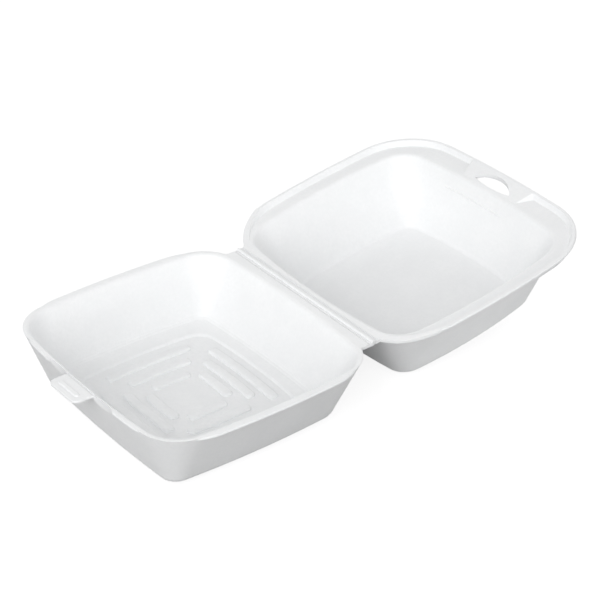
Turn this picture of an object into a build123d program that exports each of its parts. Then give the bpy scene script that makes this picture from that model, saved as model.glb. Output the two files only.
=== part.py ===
from build123d import *

import math
import os

# Foam hinged lid container, one thermoformed sheet of white polystyrene foam.
# A dished base tray and a lid of the same plan share one straight hinge. The origin is below the middle of
# the tray's rim, on the table, with +Z up. The hinge runs along X behind the tray (+Y), and the tab is in
# front (-Y). The lid is drawn level with the tray's rim, and then turned up to the angle it lies open at.

# Sheet
wall = 2.5
flange_thickness = 1.6
overrun = 5.0

# Base tray, heights above the table
rim_level = 34.0
foot_level = 4.4
ring_drop = 0.7
panel_drop = 1.0

# Base tray in plan: the rim, then how far each wall and band comes in below it
side_bow = 3.5
rim_half_width = 71.1
rim_half_depth = 63.0
rim_corner = 32.0
rim_width = 4.4
rim_front_width = 3.0
rim_back_width = 4.1
mouth_corner = 19.0
side_run = 13.1
front_run = 10.7
back_run = 15.2
foot_corner = 6.0
foot_bow = 2.0
ring_side = 9.0
ring_end = 6.1
panel_corner = 11.0
panel_bow = 2.4
panel_run = 1.2
mitre_share = 0.7
trim_chamfer = 0.5
mouth_round = 1.4
foot_round = 2.2
outer_foot_round = 3.2
round_steps = 3

# Raised bars on the floor panel, three nested squares of four
bar_width = 4.0
bar_height = 0.9
bar_chamfer = 0.6
bar_end_chamfer = 1.2
bar_bow_share = 0.04
bar_across_shares = (0.35, 0.57, 0.795)
bar_along_shares = (0.39, 0.59, 0.80)
bar_length_shares = (0.25, 0.42, 0.58)

# Front tab and the scoops beside it
tab_width = 23.0
tab_length = 8.8
tab_corner = 3.6
tab_ridge_length = 16.0
tab_ridge_width = 2.6
tab_ridge_height = 0.6
tab_ridge_share = 0.52
tab_crease_width = 1.0
tab_crease_depth = 0.4
scoop_half_length = 9.5
scoop_depth = 2.3
scoop_reach_share = 0.75

# Hinge
hinge_inset = 17.1
hinge_setback = 2.7
hinge_strip = 12.0
hinge_bead = 0.8
hinge_gap = 0.3
axis_lift = 0.25
crease_width = 0.9
crease_depth = 0.4
crease_step = 2.2
lid_tilt = 9.0

# Lid, measured from the level of the rim, out from the hinge
seat_clearance = 0.4
step_height = 3.0
step_run = 1.4
step_wall = 1.1
lip_width = 2.0
ramp_start = 8.0
ramp_end = 26.0
corner_cut_width = 20.0
corner_cut_depth = 19.0
seat_side = 6.8
seat_front = 10.1
seat_back = 2.3
lid_mouth_corner = 17.0
lid_mouth_bow = 4.0
lid_depth = 34.7
lid_side_run = 15.9
lid_front_run = 14.4
lid_back_run = 12.8
lid_floor_corner = 9.0
lid_floor_bow = 3.2
lid_mouth_round = 1.2
lid_floor_round = 1.2
lid_outer_round = 3.0

# Latch slot and the pad that carries it
pad_inner_half_width = 16.0
pad_outer_half_width = 28.0
pad_slope = 35.0
pad_setback = 0.3
slot_clearance = 1.5
slot_near_margin = 2.4
slot_far_margin = 1.9
slot_chord_share = 0.18

# Places that follow from the sizes above
panel_level = foot_level - ring_drop - panel_drop
hinge_y = rim_half_depth + hinge_setback
axis_level = rim_level + axis_lift
flange_base = rim_level - flange_thickness
front_y = -rim_half_depth
mouth_half_width = rim_half_width - rim_width
mouth_half_depth = rim_half_depth - (rim_front_width + rim_back_width) / 2
mouth_middle = (rim_front_width - rim_back_width) / 2
tray_depth = rim_level - foot_level
foot_half_width = mouth_half_width - side_run
foot_half_depth = mouth_half_depth - (front_run + back_run) / 2
floor_middle = mouth_middle + (front_run - back_run) / 2
panel_half_width = foot_half_width - ring_side
panel_half_depth = foot_half_depth - ring_end
ring_level = foot_level - ring_drop
outer_foot_level = foot_level - wall
hinge_half_width = rim_half_width - hinge_inset
lip_grow = seat_clearance + step_run + lip_width
lip_base = flange_base + step_height
lip_level = rim_level + step_height
seat_middle = 2 * hinge_y
lid_edge_y = hinge_y + hinge_bead + hinge_gap
lid_mouth_half_width = rim_half_width - seat_side
lid_mouth_half_depth = rim_half_depth - (seat_front + seat_back) / 2
lid_mouth_middle = seat_middle + (seat_back - seat_front) / 2
lid_mouth_front = lid_mouth_middle + lid_mouth_half_depth
lid_floor_level = rim_level - lid_depth
step_top_front = seat_middle + rim_half_depth + seat_clearance + step_run
round_turns = [math.pi / 2 * step / round_steps for step in range(round_steps)]


def bowed_outline(half_width, half_depth, bow, corner, level, middle=0):
    """Rounded rectangle whose sides swell by bow, lying level at a height."""
    side = half_width - bow
    end = half_depth - bow
    back = middle + end
    front = middle - end
    edges = [
        ThreePointArc((side, front), (half_width, middle), (side, back)),
        ThreePointArc((side, back), (0, middle + half_depth), (-side, back)),
        ThreePointArc((-side, back), (-half_width, middle), (-side, front)),
        ThreePointArc((-side, front), (0, middle - half_depth), (side, front)),
    ]
    face = make_face(edges)
    return Plane.XY.offset(level) * fillet(face.vertices(), corner)


def rim_outline(grow, level, middle=0):
    """Outline of the tray's rim, grown outward by a margin."""
    return bowed_outline(
        rim_half_width + grow, rim_half_depth + grow, side_bow, rim_corner + grow, level, middle
    )


def block(x_low, x_high, y_low, y_high, z_low, z_high):
    """Plain block between two corners."""
    middle = ((x_low + x_high) / 2, (y_low + y_high) / 2, (z_low + z_high) / 2)
    return Pos(*middle) * Box(x_high - x_low, y_high - y_low, z_high - z_low)


def trimmed_plate(outline, thickness):
    """Flat plate on an outline, with its upper and lower edges broken."""
    plate = extrude(outline, thickness)
    flat = plate.faces().filter_by(Axis.Z)
    return chamfer(flat.edges(), trim_chamfer)


def side_profile(points):
    """Solid of one lengthwise section, given as y and z points, right across the lid."""
    reach = rim_half_width + overrun
    face = make_face(Polyline(*points, close=True))
    return extrude(Plane.YZ * face, reach, both=True)


def drafted_wall(outline_at, depth, grows, levels, foot_round, mouth_round=0):
    """Outlines down a drafted wall, from a rounded mouth at its top to a rounded foot."""
    top_grow, foot_grow = grows
    top, foot = levels
    quarter = [(1 - math.sin(turn), 1 - math.cos(turn)) for turn in round_turns]
    places = [(mouth_round * out, top - mouth_round * down) for out, down in quarter if mouth_round]
    places += [(0, top - mouth_round), (0, foot + foot_round)]
    places += [(-foot_round * out, foot + foot_round * down) for out, down in reversed(quarter)]
    outlines = []
    for offset, level in places:
        share = (top - level) / (top - foot)
        grow = top_grow + (foot_grow - top_grow) * share + offset
        outlines.append(outline_at(depth * share, grow, level))
    return outlines


def tray_outline(depth, grow, level):
    """Outline of the tray's inner wall at a depth below the rim, grown outward, lying at a level."""
    share = depth / tray_depth
    return bowed_outline(
        mouth_half_width - side_run * share + grow,
        mouth_half_depth - (front_run + back_run) / 2 * share + grow,
        side_bow + (foot_bow - side_bow) * share,
        mouth_corner + (foot_corner - mouth_corner) * share + grow,
        level,
        mouth_middle + (front_run - back_run) / 2 * share,
    )


def panel_outline(grow, level):
    """Outline of the sunken floor panel, grown outward, lying at a level."""
    return bowed_outline(
        panel_half_width + grow, panel_half_depth + grow, panel_bow, panel_corner + grow, level, floor_middle
    )


def tray_shell():
    """Dished tray: drafted walls, a floor ring that falls inward and a sunken panel."""
    inner = drafted_wall(tray_outline, tray_depth, (0, 0), (rim_level, foot_level), foot_round, mouth_round)
    panel = panel_outline(0, ring_level)
    hollow = loft([*inner, panel], ruled=True)

    grows = (wall, wall * mitre_share)
    outer = drafted_wall(tray_outline, tray_depth, grows, (rim_level, outer_foot_level), outer_foot_round)
    body = loft([*outer, panel_outline(wall * mitre_share, 0)], ruled=True)

    flange = trimmed_plate(rim_outline(0, flange_base), flange_thickness)
    strip = block(
        -hinge_half_width, hinge_half_width, hinge_y - hinge_strip, hinge_y, flange_base, rim_level
    )
    body = body + flange + strip
    body = body - hollow - extrude(inner[0], overrun)
    return body - loft([panel, panel_outline(-panel_run, panel_level)], ruled=True)


def floor_bar(reach, half_length):
    """One raised bar along Y, bowed outward, with its ends and its top edges broken."""
    outer = reach + bar_width / 2
    inner = reach - bar_width / 2
    bow = half_length * bar_bow_share
    far_side = ThreePointArc((outer - bow, -half_length), (outer, 0), (outer - bow, half_length))
    near_side = ThreePointArc((inner - bow, half_length), (inner, 0), (inner - bow, -half_length))
    ends = [Line(far_side @ 1, near_side @ 0), Line(near_side @ 1, far_side @ 0)]
    plan = make_face([far_side, ends[0], near_side, ends[1]])
    bar = extrude(chamfer(plan.vertices(), bar_end_chamfer), bar_height)
    return chamfer(bar.faces().sort_by(Axis.Z)[-1].edges(), bar_chamfer)


def floor_bars():
    """Three nested squares of four raised bars, each bowed like the nearest side."""
    bars = []
    places = zip(bar_across_shares, bar_along_shares, bar_length_shares)
    for across_share, along_share, length_share in places:
        across = panel_half_width * across_share
        along = panel_half_depth * along_share
        for reach, other, angle in ((across, panel_half_depth, 0), (along, panel_half_width, 90)):
            bar = floor_bar(reach, other * length_share)
            for turn in (angle, angle + 180):
                bars.append(Pos(0, floor_middle, panel_level) * Rot(0, 0, turn) * bar)
    return bars


def front_tab():
    """Tongue on the front of the rim, with a ridge across it."""
    reach = tab_length + rim_front_width
    middle = front_y + rim_front_width - reach / 2
    plan = fillet(Rectangle(tab_width, reach).vertices().group_by(Axis.Y)[0], tab_corner)
    tongue = trimmed_plate(Pos(0, middle, flange_base) * plan, flange_thickness)
    ridge_y = front_y - tab_length * tab_ridge_share
    ridge_plan = Pos(0, ridge_y, rim_level) * SlotOverall(tab_ridge_length, tab_ridge_width)
    ridge = extrude(ridge_plan, tab_ridge_height)
    ridge = chamfer(ridge.faces().sort_by(Axis.Z)[-1].edges(), tab_ridge_height * mitre_share)
    crease_y = front_y + rim_front_width / 2
    crease = Pos(0, crease_y, rim_level) * Box(tab_width, tab_crease_width, 2 * tab_crease_depth)
    return tongue + ridge, crease


def base_tray():
    """Tray with its rim scooped beside the tab, the bars on its floor and the hinge bead behind."""
    tray = tray_shell()
    scoop_x = tab_width / 2 + scoop_half_length * scoop_reach_share
    for side in (-1, 1):
        scoop = Pos(side * scoop_x, front_y, flange_base - overrun) * Ellipse(scoop_half_length, scoop_depth)
        tray -= extrude(scoop, flange_thickness + 2 * overrun)
    tongue, crease = front_tab()
    tray = tray + tongue - crease
    tray += floor_bars()
    bead = Pos(0, hinge_y, axis_level) * Rot(0, 90, 0) * Cylinder(hinge_bead, 2 * hinge_half_width)
    tray += bead
    crease_y = hinge_y - crease_step
    tray -= Pos(0, crease_y, rim_level) * Box(2 * hinge_half_width, crease_width, 2 * crease_depth)
    return tray


def lid_rim():
    """Stepped rim: a seat for the tray's rim, a step up around it and a lip outside the step."""
    plate = extrude(rim_outline(seat_clearance + step_wall, flange_base, seat_middle), flange_thickness)
    step = loft(
        [
            rim_outline(seat_clearance + step_wall, flange_base, seat_middle),
            rim_outline(seat_clearance + step_wall + step_run, lip_base, seat_middle),
        ],
        ruled=True,
    )
    lip = trimmed_plate(rim_outline(lip_grow, lip_base, seat_middle), flange_thickness)

    start_y = hinge_y + ramp_start
    end_y = hinge_y + ramp_end
    above_ramp = side_profile(
        [
            (hinge_y - overrun, rim_level),
            (start_y, rim_level),
            (end_y, lip_level),
            (end_y, lip_level + overrun),
            (hinge_y - overrun, lip_level + overrun),
        ]
    )
    ramp = side_profile(
        [
            (hinge_y - overrun, flange_base),
            (start_y, flange_base),
            (end_y, lip_base),
            (end_y, lip_level),
            (start_y, rim_level),
            (hinge_y - overrun, rim_level),
        ]
    )
    ramp = ramp & extrude(rim_outline(lip_grow, flange_base, seat_middle), step_height + flange_thickness)
    recess = loft(
        [
            rim_outline(seat_clearance, rim_level, seat_middle),
            rim_outline(seat_clearance + step_run, lip_level, seat_middle),
        ],
        ruled=True,
    )
    recess += extrude(rim_outline(seat_clearance + step_run, lip_level, seat_middle), overrun)
    rim = (step + lip - above_ramp) + ramp - recess
    return rim + plate


def latch_pad():
    """Pad that bridges the seat at the front, from the mouth up to the lip, and the space under it."""
    foot_y = lid_mouth_front + lid_mouth_round + pad_setback
    top_line = [(foot_y, rim_level), (step_top_front, lip_level), (step_top_front, rim_level)]
    under_line = [(foot_y, flange_base), (step_top_front, lip_base), (step_top_front, flange_base)]
    near = lid_mouth_front - overrun
    far = step_top_front + overrun
    plan = Polyline(
        (-pad_inner_half_width, near),
        (pad_inner_half_width, near),
        (pad_outer_half_width, far),
        (-pad_outer_half_width, far),
        close=True,
    )
    face = Plane.XY.offset(rim_level) * make_face(plan)
    pad = side_profile(top_line) & extrude(face, step_height, taper=pad_slope)
    hollow = side_profile(under_line) & extrude(
        Plane.XY.offset(flange_base) * make_face(plan), step_height, taper=pad_slope
    )
    return pad, hollow


def latch_slot():
    """Lens-shaped slot through the pad, flatter on the side of the mouth."""
    near_y = lid_mouth_front + slot_near_margin
    far_y = step_top_front - slot_far_margin
    chord_y = near_y + (far_y - near_y) * slot_chord_share
    half_length = tab_width / 2 + slot_clearance
    tips = ((-half_length, chord_y), (half_length, chord_y))
    near = ThreePointArc(tips[0], (0, near_y), tips[1])
    far = ThreePointArc(tips[1], (0, far_y), tips[0])
    lens = make_face([near, far])
    height = flange_thickness + step_height + 2 * overrun
    return extrude(Plane.XY.offset(flange_base - overrun) * lens, height)


def lid_outline(depth, grow, level):
    """Outline of the lid's inner wall at a depth below the rim, grown outward, lying at a level."""
    share = depth / lid_depth
    return bowed_outline(
        lid_mouth_half_width - lid_side_run * share + grow,
        lid_mouth_half_depth - (lid_front_run + lid_back_run) / 2 * share + grow,
        lid_mouth_bow + (lid_floor_bow - lid_mouth_bow) * share,
        lid_mouth_corner + (lid_floor_corner - lid_mouth_corner) * share + grow,
        level,
        lid_mouth_middle + (lid_back_run - lid_front_run) / 2 * share,
    )


def lid():
    """Lid, level with the rim of the tray: walls, floor, stepped rim, latch slot and hinge edge."""
    inner = drafted_wall(
        lid_outline, lid_depth, (0, 0), (rim_level, lid_floor_level), lid_floor_round, lid_mouth_round
    )
    hollow = loft(inner, ruled=True)
    grows = (wall, wall * mitre_share)
    outer = drafted_wall(lid_outline, lid_depth, grows, (rim_level, lid_floor_level - wall), lid_outer_round)
    body = loft(outer, ruled=True)
    strip = block(
        -hinge_half_width, hinge_half_width, lid_edge_y, hinge_y + hinge_strip, flange_base, rim_level
    )
    shell = lid_rim() + body + strip - hollow - extrude(inner[0], overrun)
    pad, under_pad = latch_pad()
    shell = shell - (under_pad - body) + pad - latch_slot()

    low = flange_base - lid_depth
    high = lip_level + overrun
    reach = rim_half_width + lip_grow + overrun
    shell -= block(-reach, reach, hinge_y - 2 * overrun, lid_edge_y, low, high)
    for side in (-1, 1):
        corner = Polyline(
            (side * hinge_half_width, hinge_y - overrun),
            (side * hinge_half_width, hinge_y),
            (side * (hinge_half_width + corner_cut_width), hinge_y + corner_cut_depth),
            (side * reach, hinge_y + corner_cut_depth),
            (side * reach, hinge_y - overrun),
            close=True,
        )
        corner_face = Plane.XY.offset(flange_base - overrun) * make_face(corner)
        shell -= extrude(corner_face, high - flange_base + overrun)
    crease_y = hinge_y + crease_step
    shell -= Pos(0, crease_y, rim_level) * Box(2 * hinge_half_width, crease_width, 2 * crease_depth)
    return shell


hinge_axis = Axis((0, hinge_y, axis_level), (1, 0, 0))
nodes = {
    "base_tray": base_tray(),
    "lid": lid().rotate(hinge_axis, lid_tilt),
}
os.makedirs("parts", exist_ok=True)
for name, solid in nodes.items():
    export_step(solid, f"parts/{name}.step")
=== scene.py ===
# %% [markdown]
# # A foam hinged lid container
# This lesson dresses a foam food container, lying open on a table, for a studio picture. The shapes come
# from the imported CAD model, because a thermoformed box is all about its walls and rims, and those were drawn
# there to size. Blender adds what the solids don't say: the skin of the foam, the soft crease that joins the
# two halves, a few slight swells in the sheet, the light and the camera.

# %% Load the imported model
import math

import bmesh
import bpy
from mathutils import Matrix, Vector
from mathutils.bvhtree import BVHTree


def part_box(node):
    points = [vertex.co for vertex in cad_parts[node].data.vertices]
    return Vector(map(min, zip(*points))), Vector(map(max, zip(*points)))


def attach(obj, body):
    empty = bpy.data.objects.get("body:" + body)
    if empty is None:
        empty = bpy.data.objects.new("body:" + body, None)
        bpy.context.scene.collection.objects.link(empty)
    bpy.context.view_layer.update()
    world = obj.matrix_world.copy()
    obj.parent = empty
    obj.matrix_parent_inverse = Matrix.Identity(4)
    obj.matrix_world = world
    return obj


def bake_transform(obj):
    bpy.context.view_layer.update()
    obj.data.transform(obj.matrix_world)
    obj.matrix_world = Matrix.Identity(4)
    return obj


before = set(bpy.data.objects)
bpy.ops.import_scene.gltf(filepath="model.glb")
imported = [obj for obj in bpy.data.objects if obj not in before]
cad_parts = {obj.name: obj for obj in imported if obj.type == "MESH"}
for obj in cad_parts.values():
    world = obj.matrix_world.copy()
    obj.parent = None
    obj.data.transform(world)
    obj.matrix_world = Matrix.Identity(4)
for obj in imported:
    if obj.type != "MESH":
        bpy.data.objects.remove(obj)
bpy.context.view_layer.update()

MM = 0.001
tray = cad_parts["base_tray"]
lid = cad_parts["lid"]

# %% [markdown]
# ## Where things are
# Two facts place most of what is added here: the hinge line behind the tray, and the angle that the open lid
# rests at. The lid was drawn level with the tray's rim and then turned up about the hinge, so a point of the
# lid is easiest to give in that level drawing, and one turn about the hinge then puts it where the lid is.
# Typing in turned coordinates would work too, but they couldn't be checked against the drawing. The lid's
# front edge, worked out that way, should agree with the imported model.

# %% Hinge line, rim level and the lid's turn
HINGE_Y = 65.7 * MM
HINGE_Z = 34.25 * MM
RIM_LEVEL = 34.0 * MM
LID_TURN = math.radians(9)
LID_REACH = 132.5 * MM
LID_LIP = 3.0 * MM

hinge_place = Matrix.Translation((0, HINGE_Y, HINGE_Z))
LID_LIFT = hinge_place @ Matrix.Rotation(LID_TURN, 4, "X") @ hinge_place.inverted()
front_edge = LID_LIFT @ Vector((0, HINGE_Y + LID_REACH, RIM_LEVEL + LID_LIP))
lid_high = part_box("lid")[1]
print("lid's front edge in mm, worked out:", round(front_edge.y / MM, 1), "packed:", round(lid_high[1] / MM, 1))

# %% [markdown]
# ## The skin of the foam
# Foam sheet is a mass of tiny closed bubbles under a thin smooth skin. Close up, the skin is pebbled, about a
# millimetre from bump to bump, and its white is a little cloudy where the bubbles are larger or smaller. An
# image could carry that, but a procedural pattern on Object coordinates has no seams and stays sharp at any
# distance, so noise and cells make it here. Four small helpers keep the recipes short.

# %% Helpers for a node material
def new_material(name):
    """A node material, with its nodes, its links and its shader."""
    material = bpy.data.materials.new(name)
    material.use_nodes = True
    nodes = material.node_tree.nodes
    return material, nodes, material.node_tree.links, nodes["Principled BSDF"]


def pattern(nodes, links, kind, source, size, **settings):
    """A texture whose features are about `size` metres across."""
    texture = nodes.new(kind)
    texture.inputs["Scale"].default_value = 1 / size
    for key, value in settings.items():
        texture.inputs[key].default_value = value
    links.new(source, texture.inputs["Vector"])
    return texture


def between(nodes, links, value, low, high, start=0.0, end=1.0):
    """Maps a value from one range to another, held at the ends."""
    node = nodes.new("ShaderNodeMapRange")
    node.inputs["From Min"].default_value = start
    node.inputs["From Max"].default_value = end
    node.inputs["To Min"].default_value = low
    node.inputs["To Max"].default_value = high
    links.new(value, node.inputs["Value"])
    return node.outputs["Result"]


def join(nodes, links, operation, first, second):
    """Two values through a Math node."""
    node = nodes.new("ShaderNodeMath")
    node.operation = operation
    links.new(first, node.inputs[0])
    links.new(second, node.inputs[1])
    return node.outputs["Value"]


# %% [markdown]
# ### Cloudy white
# A foam sheet isn't one flat white. Where the bubbles are coarse the sheet lets more light through and looks
# a shade greyer, and a second, finer mottle comes from the bubbles themselves. One colour would look like
# card, so a soft noise chooses between two whites that are only a few hundredths apart.

# %% Tone of the foam
CLOUD_SIZE = 14 * MM
MOTTLE_SIZE = 1.6 * MM
CLOUD_SPREAD = (0.12, 0.4)
FOAM_GREY = (0.900, 0.908, 0.914, 1)
FOAM_WHITE = (0.928, 0.934, 0.939, 1)


def foam_tone(nodes, links, place, shader):
    """Cloudy, faintly mottled white on the shader's colour; gives back the clouds."""
    cloud = pattern(nodes, links, "ShaderNodeTexNoise", place, CLOUD_SIZE, Detail=3).outputs["Fac"]
    mottle = pattern(nodes, links, "ShaderNodeTexNoise", place, MOTTLE_SIZE, Detail=1).outputs["Fac"]
    amount = join(nodes, links, "MULTIPLY", cloud, mottle)
    whites = nodes.new("ShaderNodeMix")
    whites.data_type = "RGBA"
    whites.inputs["A"].default_value = FOAM_GREY
    whites.inputs["B"].default_value = FOAM_WHITE
    links.new(between(nodes, links, amount, 0, 1, *CLOUD_SPREAD), whites.inputs["Factor"])
    links.new(whites.outputs["Result"], shader.inputs["Base Color"])
    return cloud


# %% [markdown]
# ### Pressed rims
# The mould squeezes the rim to little more than half the sheet's thickness. That flattens the bubbles, so a
# rim is smoother and takes a little more shine than the walls. Painting the rims by hand would mean choosing
# faces, so a height does it: all of the rim lies above one level in the drawing, and a Mapping node lays the
# lid's turned coordinates level again first.

# %% Where the sheet is pressed thin
PRESS_LOW = RIM_LEVEL - 2.6 * MM
PRESS_HIGH = RIM_LEVEL - 1.4 * MM


def pressed_rim(nodes, links, place, lift):
    """1 on the rim, which the mould squeezes thin, falling to 0 on the walls below it."""
    level = nodes.new("ShaderNodeMapping")
    shift, turn = lift.inverted().decompose()[:2]
    level.inputs["Location"].default_value = shift
    level.inputs["Rotation"].default_value = turn.to_euler()
    links.new(place, level.inputs["Vector"])
    split = nodes.new("ShaderNodeSeparateXYZ")
    links.new(level.outputs["Vector"], split.inputs["Vector"])
    return between(nodes, links, split.outputs["Z"], 0, 1, PRESS_LOW, PRESS_HIGH)


# %% [markdown]
# ### Pebbles and soft edges
# The relief is two patterns added together: Voronoi cells for the bubbles under the skin, and a wider noise
# for the dimples left by the mould. Hot foam never takes a sharp edge either, so a Bevel node turns the
# shading round every edge by the radius that the sheet would take. Rounding the mesh itself would do the same
# with many times the faces.

# %% Relief of the foam
CELL_SIZE = 0.9 * MM
DIMPLE_SIZE = 3.2 * MM
RELIEF_HEIGHT = 0.1 * MM
WALL_RELIEF = 0.28
RIM_RELIEF = 0.12
EDGE_ROUND = 0.35 * MM
EDGE_SAMPLES = 8


def foam_relief(nodes, links, place, pressed, shader, edge_round):
    """Pebbled skin over softened edges, calmer where the sheet is pressed."""
    cells = pattern(nodes, links, "ShaderNodeTexVoronoi", place, CELL_SIZE).outputs["Distance"]
    dimples = pattern(nodes, links, "ShaderNodeTexNoise", place, DIMPLE_SIZE, Detail=2).outputs["Fac"]
    edge = nodes.new("ShaderNodeBevel")
    edge.samples = EDGE_SAMPLES
    edge.inputs["Radius"].default_value = edge_round
    bump = nodes.new("ShaderNodeBump")
    bump.inputs["Distance"].default_value = RELIEF_HEIGHT
    links.new(between(nodes, links, pressed, WALL_RELIEF, RIM_RELIEF), bump.inputs["Strength"])
    links.new(join(nodes, links, "ADD", cells, dimples), bump.inputs["Height"])
    links.new(edge.outputs["Normal"], bump.inputs["Normal"])
    links.new(bump.outputs["Normal"], shader.inputs["Normal"])


# %% [markdown]
# ### Putting the skin together
# The tray and the lid get one recipe in two materials, because the lid's rim is found in turned coordinates.
# Foam is dull, so the gloss is low all over: about 0.6 rough on the walls, a little smoother in the denser
# clouds, and under 0.5 on the pressed rims. A glossier skin would look like moulded plastic.

# %% Foam material on the tray and the lid
WALL_ROUGH = (0.64, 0.54)
ROUGH_SPREAD = (0.3, 0.7)
RIM_SHINE = 0.12
FOAM_GLOSS = 0.2


def foam(name, lift, edge_round=EDGE_ROUND):
    """White foam: cloudy tone, pebbled walls, pressed rims and soft edges."""
    material, nodes, links, shader = new_material(name)
    place = nodes.new("ShaderNodeTexCoord").outputs["Object"]
    cloud = foam_tone(nodes, links, place, shader)
    pressed = pressed_rim(nodes, links, place, lift)
    foam_relief(nodes, links, place, pressed, shader, edge_round)
    wall_rough = between(nodes, links, cloud, *WALL_ROUGH, *ROUGH_SPREAD)
    shine = between(nodes, links, pressed, 0, RIM_SHINE)
    links.new(join(nodes, links, "SUBTRACT", wall_rough, shine), shader.inputs["Roughness"])
    shader.inputs["Specular IOR Level"].default_value = FOAM_GLOSS
    print("material:", name, len(nodes), "nodes")
    return material


tray_skin = foam("foam_skin_tray", Matrix.Identity(4))
lid_skin = foam("foam_skin_lid", LID_LIFT)
for piece, skin in ((tray, tray_skin), (lid, lid_skin)):
    for slot in piece.material_slots:
        slot.material = skin
    print(piece.name, len(piece.material_slots), "slot,", len(piece.data.polygons), "faces")

# %% [markdown]
# ## The crease
# On the real container the tray, the crease and the lid are one sheet. The solid model has to leave a running
# gap there, or its lid couldn't turn. A thin web under the bead closes the gap: it starts inside the tray's
# strip and ends inside the lid's edge.

# %% A piece from a finished shape
def mesh_piece(name, shape, skin):
    """Turns a finished bmesh into an object at the origin."""
    bmesh.ops.recalc_face_normals(shape, faces=shape.faces)
    mesh = bpy.data.meshes.new(name)
    shape.to_mesh(mesh)
    shape.free()
    for face in mesh.polygons:
        face.use_smooth = True
    mesh.materials.append(skin)
    piece = bpy.data.objects.new(name, mesh)
    bpy.context.collection.objects.link(piece)
    print("piece:", name, len(mesh.polygons), "faces")
    return piece


# %% Web under the bead
CREASE_HALF_LENGTH = 53.7 * MM
CREASE_THICK = 0.75 * MM
CREASE_DROP = 0.95 * MM
CREASE_NEAR = -0.4 * MM
CREASE_FAR = 1.9 * MM
CREASE_COLUMNS = 24
CREASE_STEPS = 12

web = bmesh.new()
bmesh.ops.create_grid(web, x_segments=CREASE_COLUMNS, y_segments=CREASE_STEPS, size=1)
middle = (CREASE_NEAR + CREASE_FAR) / 2
half_width = (CREASE_FAR - CREASE_NEAR) / 2
bmesh.ops.scale(web, vec=(CREASE_HALF_LENGTH, half_width, 1), verts=web.verts)
bmesh.ops.translate(web, vec=(0, middle, -CREASE_DROP), verts=web.verts)
bmesh.ops.rotate(web, cent=(0, 0, 0), matrix=Matrix.Rotation(LID_TURN / 2, 3, "X"), verts=web.verts)
bmesh.ops.translate(web, vec=(0, HINGE_Y, HINGE_Z), verts=web.verts)
bmesh.ops.solidify(web, geom=web.faces[:], thickness=CREASE_THICK)
heights = [round(point.co.z / MM, 2) for point in web.verts]
print("web heights in mm:", min(heights), max(heights))
crease = mesh_piece("crease_web", web, tray_skin)
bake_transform(crease)

# %% [markdown]
# ## The bars on the floor
# Twelve low bars in three nested squares stiffen the tray's floor. In the solid model they are low, while the
# real ones stand higher and catch the light along one rounded side. A crest is laid over each bar: a block
# with its posts and top edges bevelled, cut across so that it can bow like the bar, and sunk to half its
# height in the floor. Making all twelve by one helper keeps them alike, as one mould would.

# %% A crest for one bar
FLOOR_MIDDLE = -2.8 * MM
PANEL_LEVEL = 2.7 * MM
BAR_BOW_SHARE = 0.04
CREST_HALF_WIDTH = 2.5 * MM
CREST_HEIGHT = 1.6 * MM
CREST_OVERRUN = 0.5 * MM
CREST_CORNER = 1.8 * MM
CREST_ROUND = 1.1 * MM
CREST_STEPS = 5
CREST_CUTS = 8


def bar_crest(reach, half_length, turn):
    """A rounded block, bowed outward, over the bar that lies `reach` from the floor's middle."""
    block = bmesh.new()
    bmesh.ops.create_cube(block, size=2)
    size = (CREST_HALF_WIDTH, half_length + CREST_OVERRUN, CREST_HEIGHT)
    bmesh.ops.scale(block, vec=size, verts=block.verts)
    rounding = {"segments": CREST_STEPS, "profile": 0.5, "affect": "EDGES", "material": -1}
    posts = [edge for edge in block.edges if abs(edge.verts[0].co.z - edge.verts[1].co.z) > CREST_HEIGHT]
    bmesh.ops.bevel(block, geom=posts, offset=CREST_CORNER, **rounding)
    top = max(block.faces, key=lambda face: face.calc_center_median().z)
    bmesh.ops.bevel(block, geom=top.edges[:], offset=CREST_ROUND, **rounding)
    for cut in range(1, CREST_CUTS):
        place = (0, half_length * (2 * cut / CREST_CUTS - 1), 0)
        geometry = block.verts[:] + block.edges[:] + block.faces[:]
        bmesh.ops.bisect_plane(block, geom=geometry, plane_co=place, plane_no=(0, 1, 0))
    for point in block.verts:
        point.co.x += reach - half_length * BAR_BOW_SHARE * (point.co.y / half_length) ** 2
    bmesh.ops.rotate(block, cent=(0, 0, 0), matrix=Matrix.Rotation(turn, 3, "Z"), verts=block.verts)
    bmesh.ops.translate(block, vec=(0, FLOOR_MIDDLE, PANEL_LEVEL), verts=block.verts)
    return block


# %% [markdown]
# ### Three nested squares
# Each square has two bars across the tray and two along it. Their places and lengths are shares of the sunken
# panel that carries them, the same shares as in the solid model, so every crest covers its own bar. The
# twelve blocks go into one mesh, because they are one moulding and ride together.

# %% Crests on all the floor bars
PANEL_HALF_WIDTH = 44.6 * MM
PANEL_HALF_DEPTH = 40.4 * MM
BAR_SHARES = ((0.35, 0.39, 0.25), (0.57, 0.59, 0.42), (0.795, 0.80, 0.58))

crest_shape = bmesh.new()
one_crest = bpy.data.meshes.new("one_crest")
for across_share, along_share, length_share in BAR_SHARES:
    for quarter in range(4):
        lengthways = quarter % 2 == 0
        reach = PANEL_HALF_WIDTH * across_share if lengthways else PANEL_HALF_DEPTH * along_share
        half_length = (PANEL_HALF_DEPTH if lengthways else PANEL_HALF_WIDTH) * length_share
        block = bar_crest(reach, half_length, math.radians(90 * quarter))
        block.to_mesh(one_crest)
        block.free()
        crest_shape.from_mesh(one_crest)
bpy.data.meshes.remove(one_crest)
crests = mesh_piece("floor_bar_crests", crest_shape, tray_skin)
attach(crests, "base")

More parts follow.
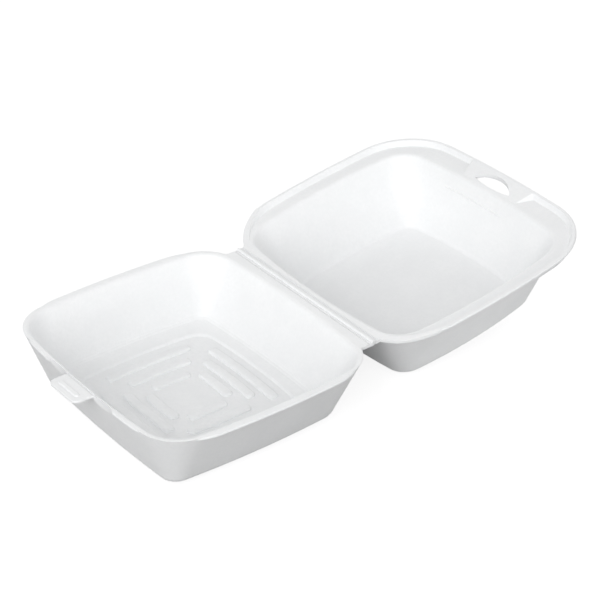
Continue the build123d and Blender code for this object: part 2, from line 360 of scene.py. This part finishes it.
# %% [markdown]
# ## The mould line in the lid
# High on the lid's front wall runs one faint raised line, where the foam was drawn over a seam of the mould.
# It could be a bump in the material, but it catches the light on a real edge, so it is a thin bead laid on
# the wall. A flat grid is moved point by point onto the wall, which a ray finds, and swells by a cosine from
# nothing at its edges. Its skin has no softened edges: on a bead this thin, the Bevel node would reach the
# hidden underside and turn the bead dark.

# %% Faint raised line on the lid's front wall
LINE_LEFT = -30 * MM
LINE_RIGHT = 16 * MM
LINE_DEPTH = 8.2 * MM
LINE_WIDTH = 1.5 * MM
LINE_HEIGHT = 0.45 * MM
LINE_SINK = 0.2 * MM
LINE_STEPS = 40
LINE_ROWS = 8
LINE_FADE = 6
LINE_EDGE_POWER = 4
LINE_START_Y = HINGE_Y + 70 * MM

lid_wall = BVHTree.FromPolygons(
    [v.co.copy() for v in lid.data.vertices], [tuple(p.vertices) for p in lid.data.polygons]
)
line = bmesh.new()
bmesh.ops.create_grid(line, x_segments=LINE_STEPS, y_segments=LINE_ROWS, size=1)
outward = (LID_LIFT.to_3x3() @ Vector((0, 1, 0))).normalized()
for point in line.verts:
    along, across = point.co.x, point.co.y
    x = LINE_LEFT + (LINE_RIGHT - LINE_LEFT) * (along + 1) / 2
    z = RIM_LEVEL - LINE_DEPTH + across * LINE_WIDTH / 2
    place, normal = lid_wall.ray_cast(LID_LIFT @ Vector((x, LINE_START_Y, z)), outward)[:2]
    fade = min(1, LINE_FADE * (1 - abs(along)))
    swell = LINE_HEIGHT * fade * (1 + math.cos(math.pi * across)) / 2
    point.co = place + normal * (swell - LINE_SINK * (1 - fade * (1 - abs(across) ** LINE_EDGE_POWER)))
bmesh.ops.solidify(line, geom=line.faces[:], thickness=LINE_SINK)
mould_line = mesh_piece("lid_mould_line", line, foam("foam_skin_line", LID_LIFT, edge_round=0))
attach(mould_line, "lid")

# %% [markdown]
# ## The studio
# The container stands on a plain white table that runs on into a white background. Lighting the table until
# it was white would burn the pale foam out too. So the table and the world each have two faces: one that the
# camera sees, also in a gloss or through glass, and one that only lights the object.

# %% Rays that show the background
def shown_rays(nodes, links):
    """1 on rays from the camera, off gloss and through glass, and 0 on the rays that light the object."""
    rays = nodes.new("ShaderNodeLightPath")
    seen = join(nodes, links, "ADD", rays.outputs["Is Camera Ray"], rays.outputs["Is Glossy Ray"])
    seen = join(nodes, links, "ADD", seen, rays.outputs["Is Transmission Ray"])
    return between(nodes, links, seen, 0, 1)


# %% [markdown]
# ### Table
# The camera is shown a paper that glows by itself, and only a thin part of it takes the light, enough to keep
# a soft shadow. All other rays meet a plain grey table, which keeps the bounce low. One pale card lies on it
# beside the lid, as a photographer would put it, and lights the lid's outside from below. The card could be a
# piece of its own, but as a change of colour with the distance it has no edge to hide.

# %% Table with a paper face and a card beside the lid
TABLE_HALF = 6.0
TABLE_GREY = 0.29
TABLE_ROUGH = 0.9
CARD_WHITE = 0.6
CARD_MIDDLE = Vector((100, 150, 0)) * MM
CARD_INNER = 50 * MM
CARD_OUTER = 90 * MM
PAPER_GLOW = 0.84
PAPER_LIT = (0.3, 0.3, 0.3, 1)

bench = bmesh.new()
bmesh.ops.create_grid(bench, x_segments=1, y_segments=1, size=TABLE_HALF)
white, nodes, links, shader = new_material("table_white")
table = mesh_piece("table", bench, white)

place = nodes.new("ShaderNodeTexCoord").outputs["Object"]
away = nodes.new("ShaderNodeVectorMath")
away.operation = "DISTANCE"
away.inputs[1].default_value = CARD_MIDDLE
links.new(place, away.inputs[0])
bounce = between(nodes, links, away.outputs["Value"], CARD_WHITE, TABLE_GREY, CARD_INNER, CARD_OUTER)
links.new(bounce, shader.inputs["Base Color"])
shader.inputs["Roughness"].default_value = TABLE_ROUGH
shader.inputs["Specular IOR Level"].default_value = 0
glow = nodes.new("ShaderNodeEmission")
glow.inputs["Strength"].default_value = PAPER_GLOW
paper = nodes.new("ShaderNodeBsdfDiffuse")
paper.inputs["Color"].default_value = PAPER_LIT
shown = nodes.new("ShaderNodeAddShader")
links.new(paper.outputs["BSDF"], shown.inputs[0])
links.new(glow.outputs["Emission"], shown.inputs[1])
choice = nodes.new("ShaderNodeMixShader")
links.new(shown_rays(nodes, links), choice.inputs["Fac"])
links.new(shader.outputs["BSDF"], choice.inputs[1])
links.new(shown.outputs["Shader"], choice.inputs[2])
links.new(choice.outputs["Shader"], nodes["Material Output"].inputs["Surface"])

# %% [markdown]
# ### World
# Beyond the table the camera sees pure white. The light that the world gives the foam is less than half of
# that, an even fill that keeps the inside of the tray and the lid open. An image of a studio could light it
# instead, but foam is too dull to mirror one, and an even white is easier to judge.

# %% World
FILL_LEVEL = 0.47

world = bpy.data.worlds.new("studio")
bpy.context.scene.world = world
world.use_nodes = True
nodes, links = world.node_tree.nodes, world.node_tree.links
sky = nodes["Background"]
sky.inputs["Color"].default_value = (1, 1, 1, 1)
links.new(between(nodes, links, shown_rays(nodes, links), FILL_LEVEL, 1), sky.inputs["Strength"])
print("world fill:", FILL_LEVEL)

# %% [markdown]
# ## The light
# The walls that face the camera are brighter than the floors, so the key light is a broad soft box beside the
# camera and about as low. A weaker one, low on the right, keeps the outer walls from going dark. A faint one
# overhead lifts the floors, and one behind lights the back for other views. All are large for their distance,
# because foam in a white studio shows no hard shadow, and small lamps would each throw one.

# %% Aiming at the container
TARGET = Vector((3.04, 61.19, 34.0)) * MM


def direction(azimuth, elevation):
    """Unit vector towards an azimuth round from the front and an elevation, in degrees."""
    a = math.radians(azimuth)
    e = math.radians(elevation)
    return Vector((math.sin(a) * math.cos(e), -math.cos(a) * math.cos(e), math.sin(e)))


def aim(thing, azimuth, elevation, distance):
    """Puts a light or camera at a distance from the container, looking at its middle."""
    thing.location = TARGET + distance * direction(azimuth, elevation)
    thing.rotation_euler = (TARGET - thing.location).to_track_quat("-Z", "Y").to_euler()
    bpy.context.collection.objects.link(thing)


# %% Soft boxes: azimuth, elevation and watts
SOFT_BOXES = {"key": (30, 25, 25), "side": (108, 12, 10), "top": (-20, 80, 3), "back": (230, 14, 14)}
BOX_SIZE = 1.8
BOX_DISTANCE = 2.0

for name, (azimuth, elevation, watts) in SOFT_BOXES.items():
    lamp = bpy.data.lights.new(name, "AREA")
    lamp.size = BOX_SIZE
    lamp.energy = watts
    aim(bpy.data.objects.new(name, lamp), azimuth, elevation, BOX_DISTANCE)
    print("light:", name, watts, "W")

# %% [markdown]
# ## The camera
# The picture was taken from the right and a little above with a long lens, which keeps the far rim almost as
# large as the near one. The focal length comes from a fit of the rims, the hinge line and the floor bars: so
# many pixels across an image 600 wide, turned into millimetres on Blender's 36 mm sensor.

# %% Camera
SENSOR = 36.0
IMAGE_WIDTH = 600
FOCAL_PIXELS = 2014.6
CAMERA_AZIMUTH = 52.65
CAMERA_ELEVATION = 31.83
CAMERA_DISTANCE = 972 * MM

lens = bpy.data.cameras.new("camera")
lens.sensor_width = SENSOR
lens.lens = SENSOR * FOCAL_PIXELS / IMAGE_WIDTH
camera = bpy.data.objects.new("camera", lens)
aim(camera, CAMERA_AZIMUTH, CAMERA_ELEVATION, CAMERA_DISTANCE)
bpy.context.scene.camera = camera
bpy.context.scene.view_settings.view_transform = "Standard"
print("lens in mm:", round(lens.lens, 1))
